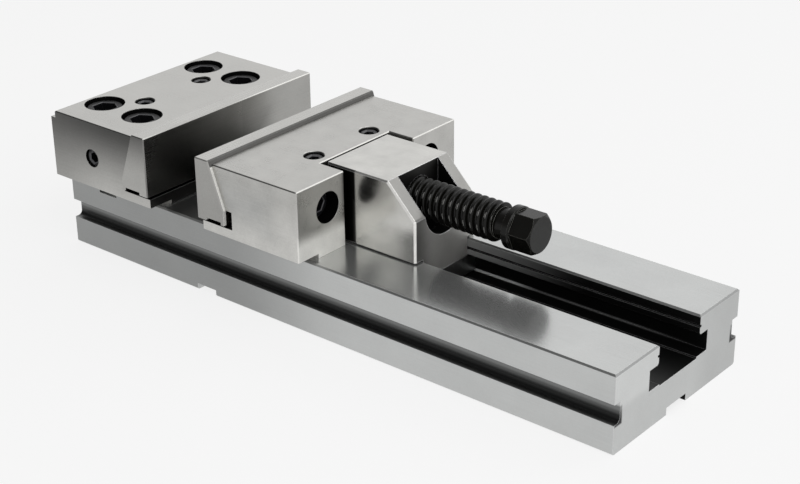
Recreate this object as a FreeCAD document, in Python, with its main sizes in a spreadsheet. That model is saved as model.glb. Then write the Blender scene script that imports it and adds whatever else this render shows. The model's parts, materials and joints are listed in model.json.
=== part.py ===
import FreeCAD, Part
import math
import os

import Sketcher

# Precision machine vise with a quick-set carriage.
# X runs along the base from the fixed jaw to the open end, Y across it, Z up.
# The origin is the middle of the base's underside. All sizes are in millimetres.

SIZES = (
    # Base slab
    ("base_length", 420.0),
    ("base_width", 125.0),
    ("base_height", 48.0),
    ("key_width", 20.0),            # lengthwise keyway under the base
    ("key_depth", 4.5),
    ("cross_width", 16.0),          # keyway across the underside
    ("cross_depth", 4.2),
    ("cross_place", -89.0),
    ("groove_low", 18.0),           # clamping groove along each side
    ("groove_rise", 12.5),
    ("groove_depth", 5.5),
    ("groove_round", 3.0),
    ("neck_width", 42.0),           # channel of T section, open at the top
    ("tee_width", 59.0),
    ("neck_rise", 11.8),
    ("tee_rise", 13.0),
    ("trough_width", 38.0),         # shallow trough along the channel floor
    ("trough_depth", 1.0),
    ("scribe_drop", 5.8),           # oil groove along each channel cheek
    ("scribe_rise", 1.7),
    ("scribe_depth", 1.3),
    ("edge_break", 1.0),
    # Jaws
    ("opening", 44.0),              # distance between the plates as photographed
    ("jaw_width", 145.0),
    ("jaw_rise", 47.5),             # top of the jaw bodies above the base
    ("fixed_depth", 88.5),
    ("fixed_over", 2.0),            # how far the fixed jaw runs past the base's end
    ("moving_depth", 79.5),
    ("foot_width", 110.0),          # what stands on the base; outside it the body hangs clear
    ("foot_clear", 3.0),
    ("foot_back_fixed", 0.5),       # how far the foot stands behind the plate's face
    ("foot_back_moving", 2.0),
    ("foot_break", 0.8),
    ("shelf_rise", 8.8),
    ("rebate_depth", 4.0),          # step along the fixed jaw's rear top edge
    ("rebate_drop", 4.5),
    ("soft_break", 0.6),
    # Jaw plates, leaning seat behind them
    ("plate_width", 150.0),
    ("plate_rise", 50.0),
    ("plate_thick", 11.0),
    ("plate_low", 11.0),
    ("seat_run", 10.8),
    ("seat_low", 20.3),
    ("undercut_front", 7.0),
    ("undercut_back", 19.5),
    ("undercut_rise", 1.9),
    ("relief_fixed", 1.5),
    ("relief_moving", 4.6),
    # Bolts that hold the fixed jaw down
    ("bolt_dia", 16.0),
    ("bolt_head_dia", 24.0),
    ("bolt_head_rise", 16.0),
    ("bolt_socket", 14.0),
    ("bolt_sink", 18.0),
    ("bolt_seat_dia", 26.0),
    ("bolt_length", 55.0),
    ("bolt_row_front", 34.5),
    ("bolt_row_back", 69.3),
    ("bolt_inset", 18.5),           # from the base's sides
    # Cross key between the fixed jaw and the base
    ("tenon_place", 52.0),
    ("tenon_width", 16.0),
    ("tenon_rise", 10.0),
    ("tenon_sunk", 5.5),
    # Screws that pull the plates home
    ("pull_dia", 12.0),
    ("pull_head_dia", 18.0),
    ("pull_head_rise", 12.0),
    ("pull_socket", 10.0),
    ("pull_seat_dia", 19.6),
    ("pull_rise", 29.5),
    ("pull_sink", 20.0),
    ("pull_reach", 8.0),            # where the screw's tip stops behind the plate's face
    ("pull_tap_over", 1.0),         # how much deeper the plate is tapped
    ("pull_inset_moving", 26.0),    # from the jaw's sides
    ("pull_spread_fixed", 24.0),
    # Accessory holes, each closed by a set screw
    ("plug_dia", 12.0),
    ("plug_length", 14.0),
    ("plug_socket", 6.0),
    ("plug_sunk", 3.0),
    ("plug_mouth_dia", 13.6),
    ("plug_hole_depth", 20.0),
    ("top_plug_spread", 50.0),
    ("top_plug_fixed", 52.3),
    ("top_plug_moving", 50.0),
    ("side_plug_place", 52.0),
    ("side_plug_rise", 23.3),
    # Rear notch of the moving jaw, and the carriage in it
    ("notch_width", 63.4),
    ("notch_depth", 18.9),
    ("carriage_gap", 2.5),
    ("carriage_width", 56.0),
    ("carriage_length", 66.4),
    ("carriage_clear", 1.0),
    ("slope_run", 20.4),
    ("slope_drop", 20.7),
    ("saddle_width", 37.0),         # U-shaped opening round the screw
    ("saddle_centre", 29.5),
    ("carriage_break", 1.0),
    # Guides that run in the channel
    ("slide_gap", 0.05),
    ("guide_drop", 0.6),
    ("guide_length", 36.0),
    ("guide_start", 22.0),
    ("guide_screw_pitch", 16.0),
    ("guide_tenon", 4.0),
    ("shoe_screw_dia", 8.0),
    ("shoe_screw_reach", 33.0),     # from a guide's underside
    ("shoe_screw_inset", 13.0),
    # Spindle
    ("spindle_end_x", 197.4),       # hex end, from the moving plate's face
    ("spindle_rise", 29.0),
    ("hex_across", 22.0),
    ("hex_length", 14.0),
    ("hex_break", 1.6),             # crown: its length, and how far inside the flats it starts
    ("hex_crown", 0.3),
    ("collar_dia", 26.0),
    ("collar_length", 5.0),
    ("collar_break", 0.8),
    ("throat_dia", 18.4),
    ("throat_length", 8.0),
    ("screw_dia", 24.0),
    ("screw_gap", 0.05),
    ("screw_length", 107.8),
    ("stem_dia", 11.0),
    ("stem_length", 10.4),
    ("button_dia", 16.0),
    ("button_length", 5.6),
    # Thrust block on the spindle's tip and the cover that keeps it in the jaw
    ("block_width", 21.0),
    ("block_rise", 21.0),
    ("block_length", 13.8),
    ("block_gap", 0.15),
    ("block_lift", 1.5),
    ("cover_width", 38.0),
    ("cover_rise", 30.0),
    ("cover_thick", 5.0),
    ("cover_slot", 13.0),
    ("cover_screw_dia", 5.0),
    ("cover_screw_length", 12.0),
    ("cover_screw_socket", 3.0),
    ("cover_screw_socket_depth", 2.0),
    ("cover_screw_spread", 29.0),
)

doc = FreeCAD.newDocument("machine_vise")
sheet = doc.addObject("Spreadsheet::Sheet", "dims")


class Size:
    """A length that follows the sheet: its value now, and the expression that keeps it so."""

    def __init__(self, value, text):
        self.value = float(value)
        self.text = text

    @staticmethod
    def of(other):
        """Return other as a Size, wrapping a plain number."""
        if isinstance(other, Size):
            return other
        return Size(other, repr(float(other)))

    def __add__(self, other):
        other = Size.of(other)
        return Size(self.value + other.value, f"({self.text} + {other.text})")

    def __sub__(self, other):
        other = Size.of(other)
        return Size(self.value - other.value, f"({self.text} - {other.text})")

    def __mul__(self, other):
        other = Size.of(other)
        return Size(self.value * other.value, f"({self.text} * {other.text})")

    __rmul__ = __mul__

    def __truediv__(self, other):
        other = Size.of(other)
        return Size(self.value / other.value, f"({self.text} / {other.text})")

    def __neg__(self):
        return Size(-self.value, f"(0 - {self.text})")


class Sheet:
    """The driving sizes, each an attribute by its alias."""

    def __init__(self, rows):
        for number, (alias, value) in enumerate(rows, start=1):
            cell = f"B{number}"
            sheet.set(f"A{number}", alias)
            sheet.set(cell, str(value))
            sheet.setAlias(cell, alias)
            setattr(self, alias, Size(value, f"dims.{alias}"))


d = Sheet(SIZES)
doc.recompute()

ZERO = Size(0, "0")
ROOT_THREE = Size(math.sqrt(3), "sqrt(3)")
X_AXIS = FreeCAD.Vector(1, 0, 0)
Y_AXIS = FreeCAD.Vector(0, 1, 0)
Z_AXIS = FreeCAD.Vector(0, 0, 1)
OVER = 2.0      # how far a cutting shape runs past the face that it opens
NEAR = 1e-3
HEX_TURN = -5   # degrees by which the spindle's hexagon stands turned in the photographed state

parts = []


def half(size):
    """Half of a size."""
    return size / 2


def new_body(name):
    """Start a sub-part whose label names its file."""
    body = doc.addObject("PartDesign::Body", name)
    body.Label = name
    parts.append(body)
    return body


def bind(thing, prop, size):
    """Let a property follow a size."""
    size = Size.of(size)
    thing.setExpression(prop, size.text)


def new_sketch(body, name, role, offset=ZERO):
    """Sketch on one of the body's own origin planes, moved along the plane's normal."""
    sketch = body.newObject("Sketcher::SketchObject", name)
    plane = [item for item in body.Origin.OriginFeatures if item.Role == role][0]
    sketch.AttachmentSupport = [(plane, "")]
    sketch.MapMode = "FlatFace"
    bind(sketch, "AttachmentOffset.Base.z", offset)
    return sketch


def axis_sketch(body, name, offset):
    """Sketch square to the spindle, with its origin on the spindle's axis."""
    sketch = new_sketch(body, name, "YZ_Plane", offset)
    bind(sketch, "AttachmentOffset.Base.y", spindle_height)
    return sketch


def polygon(sketch, corners):
    """Draw a closed outline; every corner keeps its two distances from the sketch's origin."""
    first = sketch.GeometryCount
    flat = [(Size.of(u), Size.of(v)) for u, v in corners]
    count = len(flat)
    for index, (u, v) in enumerate(flat):
        u2, v2 = flat[(index + 1) % count]
        start = FreeCAD.Vector(u.value, v.value, 0)
        end = FreeCAD.Vector(u2.value, v2.value, 0)
        sketch.addGeometry(Part.LineSegment(start, end))
    for index, (u, v) in enumerate(flat):
        line = first + index
        after = first + (index + 1) % count
        sketch.addConstraint(Sketcher.Constraint("Coincident", line, 2, after, 1))
        for kind, size in (("DistanceX", u), ("DistanceY", v)):
            row = sketch.addConstraint(Sketcher.Constraint(kind, -1, 1, line, 1, size.value))
            sketch.setExpression(f"Constraints[{row}]", size.text)


def rectangle(sketch, u_low, v_low, u_high, v_high):
    """Draw a rectangle between two opposite corners."""
    polygon(sketch, ((u_low, v_low), (u_high, v_low), (u_high, v_high), (u_low, v_high)))


def circle(sketch, u, v, diameter):
    """Draw a circle whose centre and radius follow sizes."""
    u, v, radius = Size.of(u), Size.of(v), half(Size.of(diameter))
    centre = FreeCAD.Vector(u.value, v.value, 0)
    ring = sketch.addGeometry(Part.Circle(centre, Z_AXIS, radius.value))
    for kind, size in (("DistanceX", u), ("DistanceY", v)):
        row = sketch.addConstraint(Sketcher.Constraint(kind, -1, 1, ring, 3, size.value))
        sketch.setExpression(f"Constraints[{row}]", size.text)
    row = sketch.addConstraint(Sketcher.Constraint("Radius", ring, radius.value))
    sketch.setExpression(f"Constraints[{row}]", radius.text)


def hexagon(sketch, across, u=ZERO, v=ZERO):
    """Draw a regular hexagon about a point, with two flats level."""
    corner = across / ROOT_THREE
    flat = half(across)
    polygon(sketch, (
        (u + corner, v), (u + half(corner), v + flat), (u - half(corner), v + flat),
        (u - corner, v), (u - half(corner), v - flat), (u + half(corner), v - flat),
    ))


def pad(body, sketch, length, both_ways=False, backwards=False):
    """Raise a sketch into a solid."""
    feature = body.newObject("PartDesign::Pad", f"{sketch.Name}_pad")
    feature.Profile = sketch
    feature.SideType = "Symmetric" if both_ways else "One side"
    feature.Reversed = backwards
    bind(feature, "Length", length)
    return feature


def cut(body, sketch, length, both_ways=False, backwards=False):
    """Sink a sketch into the solid and make sure that it takes something away."""
    doc.recompute()
    before = body.Shape.Volume
    feature = body.newObject("PartDesign::Pocket", f"{sketch.Name}_cut")
    feature.Profile = sketch
    feature.SideType = "Symmetric" if both_ways else "One side"
    feature.Reversed = backwards
    bind(feature, "Length", length)
    doc.recompute()
    if not body.Shape.Volume < before - NEAR:
        raise RuntimeError(f"{feature.Name} takes nothing away from {body.Label}")
    return feature


def bored(body, sketch, diameter, depth, seat=None, mouth=None):
    """Bore at each circle of a sketch, with a flat seat for a head or a bevelled mouth."""
    doc.recompute()
    before = body.Shape.Volume
    hole = body.newObject("PartDesign::Hole", f"{sketch.Name}_hole")
    hole.Profile = sketch
    hole.Threaded = False
    hole.ThreadType = "None"
    hole.DepthType = "Dimension"
    hole.DrillPoint = "Flat"
    bind(hole, "Diameter", diameter)
    bind(hole, "Depth", depth)
    if seat:
        hole.HoleCutType = "Counterbore"
        hole.HoleCutCustomValues = True
        bind(hole, "HoleCutDiameter", seat[0])
        bind(hole, "HoleCutDepth", seat[1])
    if mouth:
        hole.HoleCutType = "Countersink"
        hole.HoleCutCustomValues = True
        bind(hole, "HoleCutDiameter", mouth)
        hole.HoleCutCountersinkAngle = 90
    doc.recompute()
    if not body.Shape.Volume < before - NEAR:
        raise RuntimeError(f"{hole.Name} takes nothing away from {body.Label}")
    return hole


def spun(body, sketch, name="turned"):
    """Turn a sketch about its own level axis."""
    feature = body.newObject("PartDesign::Revolution", f"{body.Label}_{name}")
    feature.Profile = sketch
    feature.ReferenceAxis = (sketch, ["H_Axis"])
    feature.Angle = 360
    return feature


def edges_where(body, test):
    """Names of the body's straight edges whose middle and direction pass a test."""
    doc.recompute()
    names = []
    for number, edge in enumerate(body.Shape.Edges, start=1):
        if edge.Curve.TypeId != "Part::GeomLine":
            continue
        start, end = edge.Vertexes[0].Point, edge.Vertexes[-1].Point
        middle = (start + end) * 0.5
        along = (end - start).normalize()
        if test(middle, along):
            names.append(f"Edge{number}")
    return names


def dress(body, kind, size, test):
    """Bevel or round the edges that pass a test."""
    names = edges_where(body, test)
    if not names:
        raise RuntimeError(f"no edge of {body.Label} to dress")
    base = body.Tip
    feature = body.newObject(f"PartDesign::{kind}", f"{body.Label}_{kind.lower()}")
    feature.Base = (base, names)
    bind(feature, "Radius" if kind == "Fillet" else "Size", size)
    doc.recompute()
    return feature


def at(value, size):
    """Whether a coordinate lies at a size."""
    return abs(value - Size.of(size).value) < NEAR


def place(body, x=ZERO, y=ZERO, z=ZERO, turn=None):
    """Put a body at sizes, turned about an axis by a fixed number of degrees."""
    if turn:
        body.Placement = FreeCAD.Placement(FreeCAD.Vector(), FreeCAD.Rotation(*turn))
    for letter, size in (("x", x), ("y", y), ("z", z)):
        bind(body, f"Placement.Base.{letter}", size)


# Places that several pieces share

fixed_face = d.fixed_depth - d.fixed_over - half(d.base_length)
moving_face = fixed_face + d.opening
jaw_top = d.base_height + d.jaw_rise
seat_end = d.plate_thick + d.seat_run
shelf = d.base_height + d.shelf_rise
seat_foot = d.base_height + d.seat_low
notch_face = d.moving_depth - d.notch_depth
carriage_face = moving_face + notch_face + d.carriage_gap
tee_roof = d.base_height - d.neck_rise
tee_floor = tee_roof - d.tee_rise
guide_low = tee_floor + d.guide_drop
bolt_spread = d.base_width - d.bolt_inset * 2
pull_spread_moving = d.jaw_width - d.pull_inset_moving * 2
running_base = d.base_height + d.slide_gap
guide_middle = d.guide_start + half(d.guide_length)
guide_spots = (guide_middle - half(d.guide_screw_pitch), guide_middle + half(d.guide_screw_pitch))
foot_spots = (d.shoe_screw_inset, d.carriage_length - d.shoe_screw_inset)
thread_end = d.hex_length + d.collar_length + d.throat_length + d.screw_length
block_front = notch_face - d.cover_thick - d.block_gap
block_back = block_front - d.block_length
spindle_end = moving_face + d.spindle_end_x
spindle_height = d.base_height + d.spindle_rise
shoe_tap = guide_low + d.shoe_screw_reach + OVER


# Turned and threaded small parts. Each is drawn along its own X axis, head towards +X,
# with the underside of the head (or the tip of a set screw) at the origin.

TO_DOWN = (Y_AXIS, -90)     # head up
TO_FRONT = (Z_AXIS, 0)      # head towards +X
TO_REAR = (Z_AXIS, 180)     # head towards -X
SOCKET_SHARE = 0.5          # how much of a head its socket takes


def socket(body, across, face, depth):
    """Sink a hexagon socket into the end of a screw."""
    sketch = new_sketch(body, f"{body.Label}_socket", "YZ_Plane", face)
    hexagon(sketch, across)
    cut(body, sketch, depth)


def cap_screw(name, shank, length, head, head_rise, across):
    """Socket head cap screw."""
    body = new_body(name)
    sketch = new_sketch(body, f"{name}_profile", "XZ_Plane")
    polygon(sketch, (
        (-length, ZERO), (-length, half(shank)), (ZERO, half(shank)), (ZERO, half(head)),
        (head_rise, half(head)), (head_rise, ZERO),
    ))
    spun(body, sketch)
    socket(body, across, head_rise, head_rise * SOCKET_SHARE)
    return body


def set_screw(name):
    """Headless screw with a hexagon socket."""
    body = new_body(name)
    sketch = new_sketch(body, f"{name}_profile", "YZ_Plane")
    circle(sketch, ZERO, ZERO, d.plug_dia)
    pad(body, sketch, d.plug_length)
    socket(body, d.plug_socket, d.plug_length, d.plug_length * SOCKET_SHARE)
    return body


def build_base():
    """Slab with a T channel, side grooves, keyways and the fixed jaw's threaded holes."""
    body = new_body("base")
    wide, tall, edge = half(d.base_width), d.base_height, d.edge_break
    inner = wide - d.groove_depth
    groove_top = d.groove_low + d.groove_rise
    neck, tee, trough = half(d.neck_width), half(d.tee_width), half(d.trough_width)
    scribe, scribe_top = neck + d.scribe_depth, tall - d.scribe_drop
    scribe_low = scribe_top - d.scribe_rise
    side = [
        (half(d.key_width), d.key_depth), (half(d.key_width), ZERO),
        (wide - edge, ZERO), (wide, edge), (wide, d.groove_low), (inner, d.groove_low),
        (inner, groove_top), (wide, groove_top), (wide, tall - edge), (wide - edge, tall),
        (neck + edge, tall), (neck, tall - edge), (neck, scribe_top), (scribe, scribe_top),
        (scribe, scribe_low), (neck, scribe_low), (neck, tee_roof + edge),
        (neck + edge, tee_roof), (tee, tee_roof), (tee, tee_floor), (trough, tee_floor),
        (trough, tee_floor - d.trough_depth),
    ]
    section = new_sketch(body, "base_section", "YZ_Plane")
    polygon(section, side + [(-y, z) for y, z in reversed(side)])
    pad(body, section, d.base_length, both_ways=True)

    across = new_sketch(body, "base_cross", "XZ_Plane")
    reach = half(d.cross_width)
    rectangle(across, d.cross_place - reach, ZERO - OVER, d.cross_place + reach, d.cross_depth)
    cut(body, across, d.base_width + OVER, both_ways=True)

    tenon = new_sketch(body, "base_tenon", "XZ_Plane")
    centre = fixed_face - d.tenon_place
    rectangle(tenon, centre - half(d.tenon_width), tall - d.tenon_sunk,
              centre + half(d.tenon_width), tall + OVER)
    cut(body, tenon, d.base_width + OVER, both_ways=True)

    taps = new_sketch(body, "base_taps", "XY_Plane", tall)
    for row in (d.bolt_row_front, d.bolt_row_back):
        for hand in (-1, 1):
            circle(taps, fixed_face - row, half(bolt_spread) * hand, d.bolt_dia)
    cut(body, taps, d.bolt_length + d.bolt_sink - d.jaw_rise + OVER)

    dress(body, "Fillet", d.groove_round,
          lambda mid, way: abs(way.x) > 0.9 and at(abs(mid.y), inner) and at(mid.z, d.groove_low))
    dress(body, "Chamfer", d.edge_break,
          lambda mid, way: abs(way.y) > 0.9 and at(abs(mid.x), half(d.base_length))
          and at(mid.z, tall))
    return body


def jaw_blank(body, depth, relief, under, front):
    """Jaw body with its leaning plate seat, shelf, relief and overhanging flanks."""
    slope = d.seat_run / (d.plate_rise - d.seat_low)
    lean_top = d.plate_thick + (d.plate_rise - d.jaw_rise) * slope
    section = new_sketch(body, f"{body.Label}_section", "XZ_Plane")
    polygon(section, (
        (front + d.foot_break, under), (front, under + d.foot_break), (front, shelf),
        (seat_end + relief, shelf),
        (seat_end + relief, seat_foot), (seat_end, seat_foot), (lean_top, jaw_top),
        (depth, jaw_top), (depth, under),
    ))
    pad(body, section, d.jaw_width, both_ways=True)
    flanks = new_sketch(body, f"{body.Label}_flanks", "YZ_Plane")
    for hand in (-1, 1):
        rectangle(flanks, half(d.foot_width) * hand, d.base_height - OVER,
                  (half(d.jaw_width) + OVER) * hand, d.base_height + d.foot_clear)
    cut(body, flanks, d.base_length, both_ways=True)
    return body


def plug_holes(body, place_x):
    """Pair of accessory holes in a jaw's top."""
    sketch = new_sketch(body, f"{body.Label}_top_holes", "XY_Plane", jaw_top)
    for hand in (-1, 1):
        circle(sketch, place_x, half(d.top_plug_spread) * hand, d.plug_dia)
    bored(body, sketch, d.plug_dia, d.plug_hole_depth, mouth=d.plug_mouth_dia)


def pull_holes(body, depth, spread):
    """Stepped bores from the jaw's rear for the screws that pull the plate home."""
    height = d.base_height + d.pull_rise
    for size, deep, name in ((d.pull_seat_dia, d.pull_sink, "seats"), (d.pull_dia, depth, "bores")):
        sketch = new_sketch(body, f"{body.Label}_pull_{name}", "YZ_Plane", depth)
        for hand in (-1, 1):
            circle(sketch, half(spread) * hand, height, size)
        cut(body, sketch, deep)


def build_fixed_jaw():
    """Fixed jaw body: bolted down over a cross key."""
    body = new_body("fixed_jaw_body")
    jaw_blank(body, d.fixed_depth, d.relief_fixed, d.base_height, d.foot_back_fixed)
    rebate = new_sketch(body, "fixed_jaw_rebate", "XZ_Plane")
    rectangle(rebate, d.fixed_depth - d.rebate_depth, jaw_top - d.rebate_drop,
              d.fixed_depth + OVER, jaw_top + OVER)
    cut(body, rebate, d.jaw_width + OVER, both_ways=True)
    tenon = new_sketch(body, "fixed_jaw_tenon", "XZ_Plane")
    rectangle(tenon, d.tenon_place - half(d.tenon_width), d.base_height - OVER,
              d.tenon_place + half(d.tenon_width), d.base_height + d.tenon_rise - d.tenon_sunk)
    cut(body, tenon, d.foot_width, both_ways=True)
    bolts = new_sketch(body, "fixed_jaw_bolts", "XY_Plane", jaw_top)
    for row in (d.bolt_row_front, d.bolt_row_back):
        for hand in (-1, 1):
            circle(bolts, row, half(bolt_spread) * hand, d.bolt_dia)
    bored(body, bolts, d.bolt_dia, d.jaw_rise, seat=(d.bolt_seat_dia, d.bolt_sink))
    plug_holes(body, d.top_plug_fixed)
    pull_holes(body, d.fixed_depth, d.pull_spread_fixed)
    for hand in (-1, 1):
        side = new_sketch(body, f"fixed_jaw_side_{'far' if hand < 0 else 'near'}", "XZ_Plane",
                          half(d.jaw_width) * hand)
        circle(side, d.side_plug_place, d.base_height + d.side_plug_rise, d.plug_dia)
        cut(body, side, d.plug_hole_depth, backwards=hand < 0)
    dress(body, "Chamfer", d.soft_break,
          lambda mid, way: at(mid.z, jaw_top) and abs(way.x) + abs(way.y) > 0.9)
    place(body, fixed_face, turn=(Z_AXIS, 180))


def build_plate(name, face, turn, spread):
    """Hardened jaw plate with a leaning back and threaded holes from behind."""
    body = new_body(name)
    low, high = d.base_height + d.plate_low, d.base_height + d.plate_rise
    section = new_sketch(body, f"{name}_section", "XZ_Plane")
    polygon(section, (
        (ZERO, low), (ZERO, high), (d.plate_thick, high), (seat_end, seat_foot),
        (seat_end, low), (d.undercut_back, low), (d.undercut_back, low + d.undercut_rise),
        (d.undercut_front, low + d.undercut_rise), (d.undercut_front, low),
    ))
    pad(body, section, d.plate_width, both_ways=True)
    taps = new_sketch(body, f"{name}_taps", "YZ_Plane", seat_end)
    for hand in (-1, 1):
        circle(taps, half(spread) * hand, d.base_height + d.pull_rise, d.pull_dia)
    cut(body, taps, seat_end - d.pull_reach + d.pull_tap_over)
    dress(body, "Chamfer", d.soft_break,
          lambda mid, way: (at(mid.x, ZERO) or at(mid.z, high) or abs(way.x * way.z) > 0.1)
          and not at(mid.z, low))
    place(body, face, turn=turn)


def build_moving_jaw():
    """Moving jaw body, notched behind for the carriage and pocketed for the thrust block."""
    body = new_body("moving_jaw_body")
    jaw_blank(body, d.moving_depth, d.relief_moving, running_base, d.foot_back_moving)
    notch = new_sketch(body, "moving_jaw_notch", "XY_Plane", d.base_height - OVER)
    rectangle(notch, notch_face, -half(d.notch_width), d.moving_depth + OVER, half(d.notch_width))
    cut(body, notch, d.jaw_rise + 2 * OVER, backwards=True)

    cover = new_sketch(body, "moving_jaw_cover", "YZ_Plane", notch_face)
    rectangle(cover, -half(d.cover_width), spindle_height - half(d.cover_rise),
              half(d.cover_width), spindle_height + half(d.block_rise) + d.block_lift)
    cut(body, cover, d.cover_thick)
    pocket = new_sketch(body, "moving_jaw_pocket", "YZ_Plane", notch_face - d.cover_thick)
    wall = half(d.block_width) + d.block_gap
    rectangle(pocket, -wall, spindle_height - half(d.block_rise) - d.block_gap,
              wall, spindle_height + half(d.block_rise) + d.block_lift)
    cut(body, pocket, d.block_length + d.block_gap * 2)
    taps = new_sketch(body, "moving_jaw_cover_taps", "YZ_Plane", notch_face - d.cover_thick)
    for hand in (-1, 1):
        circle(taps, half(d.cover_screw_spread) * hand, spindle_height, d.cover_screw_dia)
    cut(body, taps, d.cover_screw_length)

    tenon = new_sketch(body, "moving_jaw_tenon", "YZ_Plane", d.guide_start)
    rectangle(tenon, -half(d.neck_width) + d.slide_gap, d.base_height - OVER,
              half(d.neck_width) - d.slide_gap, d.base_height + d.guide_tenon)
    cut(body, tenon, d.guide_length, backwards=True)
    holes = new_sketch(body, "moving_jaw_guide_taps", "XY_Plane", d.base_height + d.guide_tenon)
    for spot in guide_spots:
        circle(holes, spot, ZERO, d.shoe_screw_dia)
    cut(body, holes, shoe_tap - d.base_height - d.guide_tenon, backwards=True)

    plug_holes(body, d.top_plug_moving)
    pull_holes(body, d.moving_depth, pull_spread_moving)
    dress(body, "Chamfer", d.soft_break,
          lambda mid, way: (at(mid.z, jaw_top) and abs(way.z) < 0.1)
          or (at(mid.x, d.moving_depth) and abs(way.z) > 0.9))
    place(body, moving_face)


def guide_section(sketch, top, neck_half):
    """T outline that runs in the channel with a small gap."""
    tee_half = half(d.tee_width) - d.slide_gap
    roof = tee_roof - d.slide_gap
    side = [(tee_half, guide_low), (tee_half, roof), (neck_half, roof), (neck_half, top)]
    polygon(sketch, side + [(-y, z) for y, z in reversed(side)])


def guide_screws(body, spots):
    """Shanks of the two screws that hold a guide up, in one piece with it."""
    sketch = new_sketch(body, f"{body.Label}_shanks", "XY_Plane", guide_low)
    for spot in spots:
        circle(sketch, spot, ZERO, d.shoe_screw_dia)
    pad(body, sketch, d.shoe_screw_reach)


def build_jaw_guide():
    """Guide under the moving jaw: it holds the jaw down and straight in the channel."""
    body = new_body("moving_jaw_guide")
    section = new_sketch(body, "jaw_guide_section", "YZ_Plane", d.guide_start)
    guide_section(section, d.base_height + d.guide_tenon, half(d.neck_width) - d.slide_gap)
    pad(body, section, d.guide_length)
    guide_screws(body, guide_spots)
    place(body, moving_face)


def build_carriage():
    """Carriage with the spindle's thread, a sloping back and a tongue in the channel."""
    body = new_body("carriage_block")
    length, low = d.carriage_length, d.base_height + d.carriage_clear
    section = new_sketch(body, "carriage_section", "XZ_Plane")
    polygon(section, (
        (ZERO, low), (ZERO, jaw_top), (length - d.slope_run, jaw_top),
        (length, jaw_top - d.slope_drop), (length, low),
    ))
    pad(body, section, d.carriage_width, both_ways=True)
    dress(body, "Chamfer", d.carriage_break,
          lambda mid, way: abs(way.y) < 0.1 and not at(mid.z, low))
    tongue = new_sketch(body, "carriage_tongue", "YZ_Plane")
    rectangle(tongue, -half(d.neck_width) + d.slide_gap, tee_roof - d.slide_gap,
              half(d.neck_width) - d.slide_gap, low)
    pad(body, tongue, length)

    saddle = new_sketch(body, "carriage_saddle", "YZ_Plane", length)
    centre = d.base_height + d.saddle_centre
    rectangle(saddle, -half(d.saddle_width), centre, half(d.saddle_width), jaw_top + OVER)
    cut(body, saddle, d.slope_run)
    bowl = new_sketch(body, "carriage_bowl", "YZ_Plane", length)
    circle(bowl, ZERO, centre, d.saddle_width)
    cut(body, bowl, d.slope_run)

    thread = axis_sketch(body, "carriage_thread", length)
    circle(thread, ZERO, ZERO, d.screw_dia + d.screw_gap * 2)
    cut(body, thread, length)

    holes = new_sketch(body, "carriage_taps", "XY_Plane", tee_roof - d.slide_gap)
    for spot in foot_spots:
        circle(holes, spot, ZERO, d.shoe_screw_dia)
    cut(body, holes, shoe_tap - tee_roof, backwards=True)
    place(body, carriage_face)

    foot = new_body("carriage_foot")
    plan = new_sketch(foot, "carriage_foot_section", "YZ_Plane")
    wide = half(d.tee_width) - d.slide_gap
    rectangle(plan, -wide, guide_low, wide, tee_roof - d.slide_gap)
    pad(foot, plan, length)
    guide_screws(foot, foot_spots)
    place(foot, carriage_face)


def build_spindle():
    """Spindle: hexagon, collar, threaded length and a button tip, drawn back from its hex end."""
    body = new_body("spindle")
    collar = -d.hex_length
    throat = collar - d.collar_length
    start = throat - d.throat_length
    stem = start - d.screw_length
    button = stem - d.stem_length
    tip = button - d.button_length
    collar_r, throat_r, screw_r = half(d.collar_dia), half(d.throat_dia), half(d.screw_dia)
    stem_r, button_r = half(d.stem_dia), half(d.button_dia)
    profile = new_sketch(body, "spindle_profile", "XZ_Plane")
    polygon(profile, (
        (collar, ZERO), (collar, collar_r - d.collar_break), (collar - d.collar_break, collar_r),
        (throat, collar_r), (throat, throat_r), (start, throat_r),
        (start - (screw_r - throat_r), screw_r), (stem, screw_r), (stem, stem_r),
        (button, stem_r), (button, button_r), (tip, button_r), (tip, ZERO),
    ))
    spun(body, profile)
    head = new_sketch(body, "spindle_hex", "YZ_Plane", collar)
    hexagon(head, d.hex_across)
    pad(body, head, d.hex_length)
    doc.recompute()
    crown = new_sketch(body, "spindle_crown", "XZ_Plane")
    corner = d.hex_across / ROOT_THREE + NEAR
    inner = half(d.hex_across) - d.hex_crown
    polygon(crown, ((ZERO, inner), (ZERO, corner), (-d.hex_break, corner)))
    groove = body.newObject("PartDesign::Groove", "spindle_crown_cut")
    groove.Profile = crown
    groove.ReferenceAxis = (crown, ["H_Axis"])
    groove.Angle = 360
    place(body, spindle_end, ZERO, spindle_height, (X_AXIS, HEX_TURN))


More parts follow.
